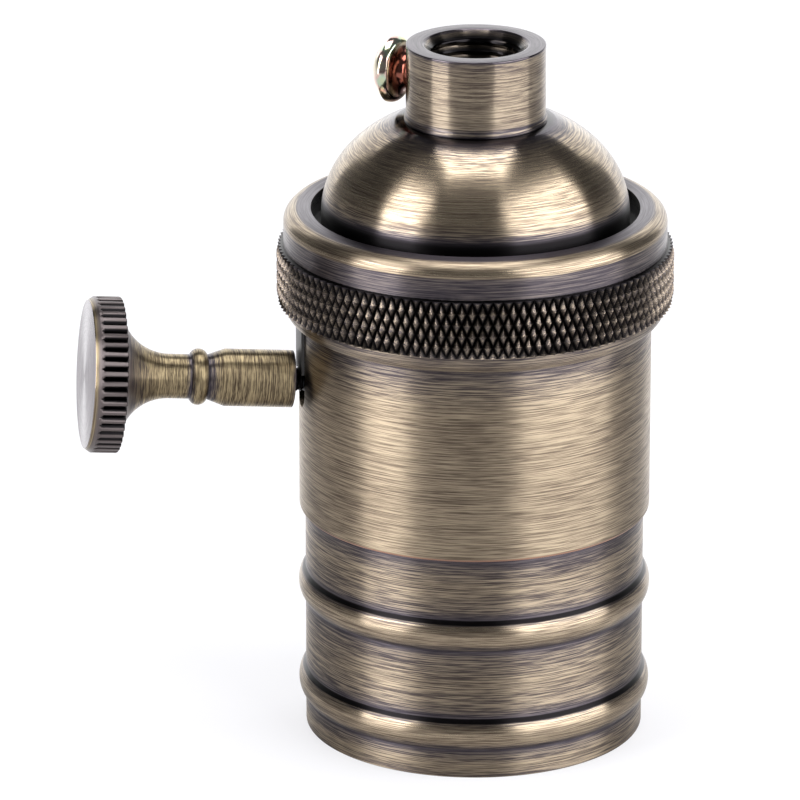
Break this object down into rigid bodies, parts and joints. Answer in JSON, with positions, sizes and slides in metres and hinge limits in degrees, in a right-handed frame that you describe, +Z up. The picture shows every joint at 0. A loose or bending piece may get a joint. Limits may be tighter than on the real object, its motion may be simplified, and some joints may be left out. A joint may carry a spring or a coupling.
{
  "type": "lamp holder",
  "caption": "Screw-cap lamp holder with a stepped beaded metal shell, knurled collar, dome cap, threaded neck with a lock screw, and a turn-knob switch at the side.",
  "frame": {"origin": "centre of the bottom rim, on the shell's axis, in the plane that it stands on", "axes": "+Z up along the shell's axis to the threaded neck, -X towards the switch knob"},
  "size_m": [0.0601, 0.04, 0.0719],
  "materials": {
    "antique_brass": "brushed antique plating",
    "yellow_steel": "yellow passivated zinc",
    "black_plastic": "moulded, semi-matt",
    "black_steel": "blackened",
    "plated_steel": "zinc plated",
    "contact_brass": "bright stamped sheet",
    "porcelain": "unglazed white ceramic"
  },
  "bodies": {
    "core": {"outer_shell": "antique_brass", "slot_cover": "black_plastic", "switch_frame": "plated_steel", "frame_screw": "plated_steel", "detent_spring": "plated_steel", "live_terminal": "contact_brass", "neutral_terminal": "contact_brass", "load_strip": "contact_brass", "core_block": "porcelain", "core_barrel": "porcelain", "core_screw_live": "plated_steel", "core_screw_neutral": "plated_steel", "core_nut_live": "plated_steel", "core_nut_neutral": "plated_steel", "screw_shell": "contact_brass", "centre_contact": "contact_brass", "centre_rivet": "contact_brass"},
    "knob": {"knob": "antique_brass", "spindle": "black_steel", "switch_rotor": "black_plastic", "rotor_contact": "contact_brass"},
    "cap": {"dome_cap": "antique_brass", "threaded_neck": "antique_brass"},
    "collar": {"knurled_collar": "antique_brass"},
    "lock_screw": {"neck_lock_screw": "yellow_steel"},
    "live_screw": {"terminal_screw_live": "plated_steel"},
    "neutral_screw": {"terminal_screw_neutral": "plated_steel"}
  },
  "joints": [
    {"name": "knob_turn", "type": "hinge", "parent": "core", "child": "knob", "pos_m": [-0.0178, 0, 0.0375], "axis": [-0.9971, 0, 0.0767], "continuous": true, "deforming": ["detent_spring"]},
    {"name": "cap_lift", "type": "slide", "parent": "core", "child": "cap", "axis": [0, 0, 1], "range_m": [0, 0.0055]},
    {"name": "collar_turn", "type": "hinge", "parent": "cap", "child": "collar", "pos_m": [0, 0, 0.05], "axis": [0, 0, 1], "range_deg": [0, 1980]},
    {"name": "lock_screw_slide", "type": "slide", "parent": "cap", "child": "lock_screw", "axis": [-0.807, 0.5906, 0], "range_m": [0, 0.003]},
    {"name": "live_screw_slide", "type": "slide", "parent": "core", "child": "live_screw", "axis": [0, 0, 1], "range_m": [0, 0.003]},
    {"name": "neutral_screw_slide", "type": "slide", "parent": "core", "child": "neutral_screw", "axis": [0, 0, 1], "range_m": [0, 0.003]}
  ],
  "couplings": [
    {"joint": "cap_lift", "follows": "collar_turn", "m_per_rad": 0.00015915}
  ]
}
